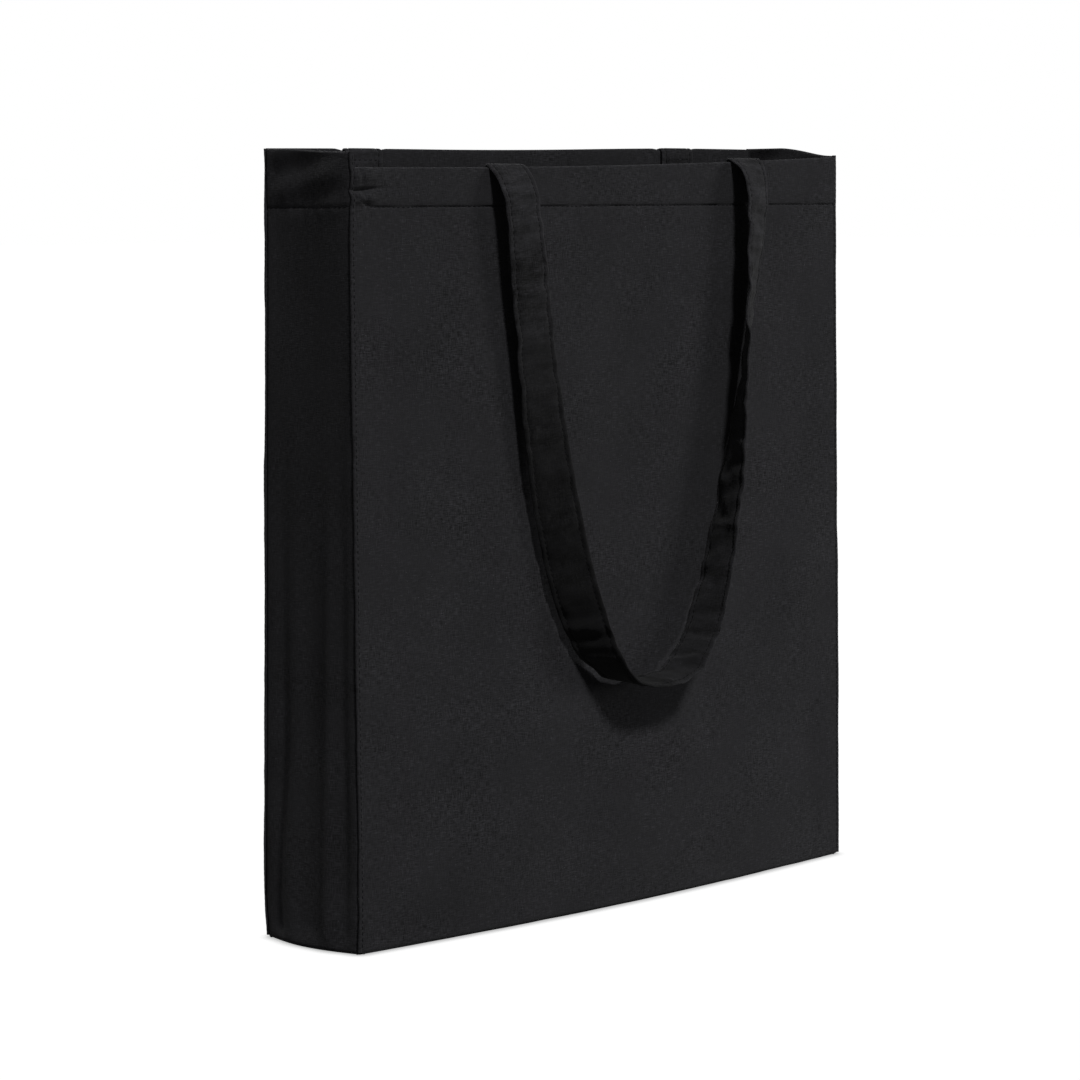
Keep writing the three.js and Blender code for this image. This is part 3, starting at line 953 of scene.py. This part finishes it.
def dashes(tree, uv, seed):
    """Short pale dashes where the yarn is thickest, more of them along the weft."""
    warp = stretched_noise(tree, uv, 0.5 * MM, 4.0 * MM, seed + 11.2, detail=0.0)
    warp = maths(tree, "MAXIMUM", maths(tree, "SUBTRACT", warp, 0.62), 0.0)
    weft = stretched_noise(tree, uv, 5.0 * MM, 0.5 * MM, seed + 14.9, detail=0.0)
    weft = maths(tree, "MAXIMUM", maths(tree, "SUBTRACT", weft, 0.58), 0.0)
    patches = stretched_noise(tree, uv, 30 * MM, 30 * MM, seed + 19.3)
    return maths(tree, "MULTIPLY", maths(tree, "ADD", warp, weft), patches)


def lint(tree, uv):
    """Small specks of lint, 1 on a speck and 0 off it."""
    cells = node(
        tree,
        "ShaderNodeTexVoronoi",
        {"Vector": uv, "Scale": 1 / (9 * MM)},
        voronoi_dimensions="2D",
    )
    speck = maths(tree, "LESS_THAN", cells.outputs["Distance"], 0.028)
    picked = node(tree, "ShaderNodeSeparateColor", {0: cells.outputs["Color"]}).outputs[0]
    return maths(tree, "MULTIPLY", speck, maths(tree, "GREATER_THAN", picked, 0.72))


def canvas_material(name, tone, seed, streaks=1.0, mottle=1.0, painted_crease_shade=0.0):
    """Black plain-weave canvas: yarns, slubs along both, lint, mottling, worn edges, painted shade
    and, on the strap, painted crease shade and highlight: paler and darker stripes across it."""
    material, tree, shader = new_material(name)
    uv = node(tree, "ShaderNodeUVMap", uv_map="cloth").outputs[0]
    weave_height = weave(tree, uv)
    slub = slubs(tree, uv, seed)
    cloud = maths(tree, "SUBTRACT", stretched_noise(tree, uv, 38 * MM, 38 * MM, seed + 7.7), 0.5)
    wear = node(tree, "ShaderNodeAttribute", attribute_name="wear").outputs["Fac"]
    worn = maths(tree, "MULTIPLY", wear, add(tree, 0.8, slub, 1.5))

    brightness = add(tree, 1.0, slub, 1.3 * streaks)
    brightness = add(tree, brightness, dashes(tree, uv, seed), 4.5 * streaks)
    brightness = add(tree, brightness, cloud, 0.35 * mottle)
    brightness = add(tree, brightness, maths(tree, "SUBTRACT", weave_height, 0.64), 0.22)
    # Painted crease shade and highlight: paler and darker stripes across the strap.
    if painted_crease_shade:
        bands = stretched_noise(tree, uv, 40 * MM, 7 * MM, seed + 23.9, detail=3.0)
        brightness = add(tree, brightness, maths(tree, "SUBTRACT", bands, 0.5), painted_crease_shade)
    brightness = add(tree, brightness, worn, 0.45)
    brightness = add(tree, brightness, lint(tree, uv), 2.6)
    brightness = maths(tree, "MAXIMUM", brightness, 0.15)
    # Painted shade: the colour is darkened by the strap's per-vertex shade amount, lower down its
    # legs.
    painted_shade = node(tree, "ShaderNodeAttribute", attribute_name="painted_shade").outputs["Fac"]
    painted_shade_factor = maths(tree, "SUBTRACT", 1.0, maths(tree, "MULTIPLY", painted_shade, 0.66, clamp=True))
    brightness = maths(tree, "MULTIPLY", brightness, painted_shade_factor)
    colour = (tone * 0.98, tone * 0.965, tone * 1.09)
    base = node(tree, "ShaderNodeVectorMath", {0: colour, "Scale": brightness}, operation="SCALE")

    height = add(tree, maths(tree, "MULTIPLY", weave_height, 0.5), slub, 1.4 * streaks)
    relief = {"Strength": 0.55, "Distance": 0.10 * MM, "Height": height}
    feed(tree, shader, "Base Color", base.outputs[0])
    feed(tree, shader, "Normal", node(tree, "ShaderNodeBump", relief).outputs[0])
    feed(tree, shader, "Roughness", add(tree, 0.92, slub, -0.25))
    feed(tree, shader, "Specular IOR Level", 0.12)
    feed(tree, shader, "Sheen Weight", 0.03)
    feed(tree, shader, "Sheen Roughness", 0.6)
    return material


def thread_material(name, tone):
    """Black sewing thread with fine uneven plies, a little glossier than cloth."""
    material, tree, shader = new_material(name)
    place = node(tree, "ShaderNodeTexCoord").outputs["Object"]
    noise = node(tree, "ShaderNodeTexNoise", {"Vector": place, "Scale": 2600.0, "Detail": 2.0})
    plies = noise.outputs["Fac"]
    colour = (tone, tone, tone * 1.15)
    brightness = maths(tree, "ADD", plies, 0.5)
    base = node(tree, "ShaderNodeVectorMath", {0: colour, "Scale": brightness}, operation="SCALE")
    relief = {"Strength": 0.4, "Distance": 0.08 * MM, "Height": plies}
    feed(tree, shader, "Base Color", base.outputs[0])
    feed(tree, shader, "Normal", node(tree, "ShaderNodeBump", relief).outputs[0])
    feed(tree, shader, "Roughness", 0.6)
    feed(tree, shader, "Specular IOR Level", 0.1)
    return material


PANEL_TONE = 0.0098
CANVAS = {
    FRONT: canvas_material("front_canvas", PANEL_TONE, 1.3),
    BACK: canvas_material("back_canvas", PANEL_TONE, 5.9),
    "left": canvas_material("left_gusset_canvas", PANEL_TONE, 9.4, mottle=1.6),
    "right": canvas_material("right_gusset_canvas", PANEL_TONE, 13.2, mottle=1.6),
    "base": canvas_material("base_canvas", PANEL_TONE, 17.8),
    "seam": canvas_material("seam_canvas", PANEL_TONE * 0.95, 21.5, streaks=0.8),
    # The strap's canvas carries painted crease shade and highlight.
    "strap": canvas_material("strap_canvas", PANEL_TONE, 25.1, streaks=0.9, mottle=1.8, painted_crease_shade=3.2),
}
THREAD = thread_material("sewing_thread", 0.0060)
# The strap's thread is darker than the hem's thread: painted shade, to go with the painted shade on
# the strap.
STRAP_THREAD = thread_material("strap_thread", 0.0018)


# ---- stage, light and camera ----
FLOOR_LIGHT = 0.11  # how much light the white floor gives the bag
WORLD_LIGHT = 0.11


def seen_level(tree, lighting):
    """1 where the camera sees the surface, and less where it only lights the bag."""
    seen = node(tree, "ShaderNodeLightPath").outputs["Is Camera Ray"]
    return maths(tree, "ADD", maths(tree, "MULTIPLY", seen, 1 - lighting), lighting)


def floor():
    """A wide white floor with a painted shadow, darker just under the bag's edges."""
    reach = 30.0
    corners = [(-reach, -reach, 0), (reach, -reach, 0), (reach, reach, 0), (-reach, reach, 0)]
    mesh = bpy.data.meshes.new("floor")
    mesh.from_pydata(corners, [], [(0, 1, 2, 3)])
    material, tree, shader = new_material("pale_floor")
    # Painted shadow: the floor's glow is dimmed where it is occluded just under the bag's edges.
    painted_floor_shadow = node(tree, "ShaderNodeAmbientOcclusion", {"Distance": 7 * MM}, samples=8)
    shade = node(
        tree,
        "ShaderNodeMapRange",
        {"Value": painted_floor_shadow.outputs["AO"], "From Min": 0.45, "From Max": 0.95, "To Min": 0.55,
         "To Max": 1.0},
    )
    glow = maths(tree, "MULTIPLY", shade.outputs[0], seen_level(tree, FLOOR_LIGHT))
    feed(tree, shader, "Base Color", (0.02, 0.02, 0.02, 1))
    feed(tree, shader, "Roughness", 1.0)
    feed(tree, shader, "Specular IOR Level", 0.0)
    feed(tree, shader, "Emission Color", (1, 1, 1, 1))
    feed(tree, shader, "Emission Strength", glow)
    mesh.materials.append(material)
    in_scene("floor", mesh)


def world():
    """A white surround."""
    made = bpy.data.worlds.new("studio")
    made.use_nodes = True
    background = made.node_tree.nodes["Background"]
    feed(made.node_tree, background, "Strength", seen_level(made.node_tree, WORLD_LIGHT))
    feed(made.node_tree, background, "Color", (1, 1, 1, 1))
    bpy.context.scene.world = made


def aimed(lamp, direction):
    lamp.rotation_mode = "QUATERNION"
    lamp.rotation_quaternion = direction.to_track_quat("-Z", "Y")


def sun(name, travel, strength, softness):
    """Light from far away. travel is its direction, and softness its breadth in degrees."""
    light = bpy.data.lights.new(name, "SUN")
    light.energy = strength
    light.angle = math.radians(softness)
    aimed(in_scene(name, light), Vector(travel))


def softbox(name, at, towards, size, watts):
    """A round softbox."""
    light = bpy.data.lights.new(name, "AREA")
    light.shape = "DISK"
    light.size = size
    light.energy = watts
    lamp = in_scene(name, light)
    lamp.location = at
    aimed(lamp, Vector(towards) - Vector(at))


def camera():
    """Looks at the bag from its front left, a little above, with a long lens."""
    azimuth, elevation, roll = math.radians(-44.1), math.radians(5.8), math.radians(-0.40)
    distance = 1.856
    aim_right, aim_height = -14.4 * MM, 203.4 * MM
    ground = Vector((math.sin(azimuth), -math.cos(azimuth), 0))
    up_axis = Vector((0, 0, 1))
    back = ground * math.cos(elevation) + up_axis * math.sin(elevation)
    right = (-back).cross(up_axis).normalized()
    up = right.cross(-back)
    target = right * aim_right + up_axis * aim_height
    data = bpy.data.cameras.new("camera")
    data.sensor_width = 36.0
    data.lens = 108.9333
    data.clip_end = 100
    eye = in_scene("camera", data)
    rolled_right = right * math.cos(roll) + up * math.sin(roll)
    rolled_up = up * math.cos(roll) - right * math.sin(roll)
    turn = Matrix((rolled_right, rolled_up, back)).transposed()
    eye.matrix_world = Matrix.Translation(target + back * distance) @ turn.to_4x4()
    bpy.context.scene.camera = eye


camera()
floor()
world()
sun("key", (6.5, 30, -33), 2.95, 9)
sun("rear_left", (30, -12, -12), 0.13, 40)
sun("front_left", (30, 8, -10), 0.24, 60)
sun("rear", (-8, -30, -20), 1.6, 30)
softbox("right_box", (1.3, -1.2, 0.25), (0.1, 0, 0.1), 0.6, 11.0)
bpy.context.scene.view_settings.view_transform = "Standard"

for each_side in (FRONT, BACK):
    side_cloth(each_side)
    hem_stitches(each_side)
    corner_seams(each_side)
    strap(each_side)
    box_stitches(each_side)
for each_side in ("left", "right"):
    gusset_cloth(each_side)
    gusset_hem_stitches(each_side)
base_cloth()
base_seams()
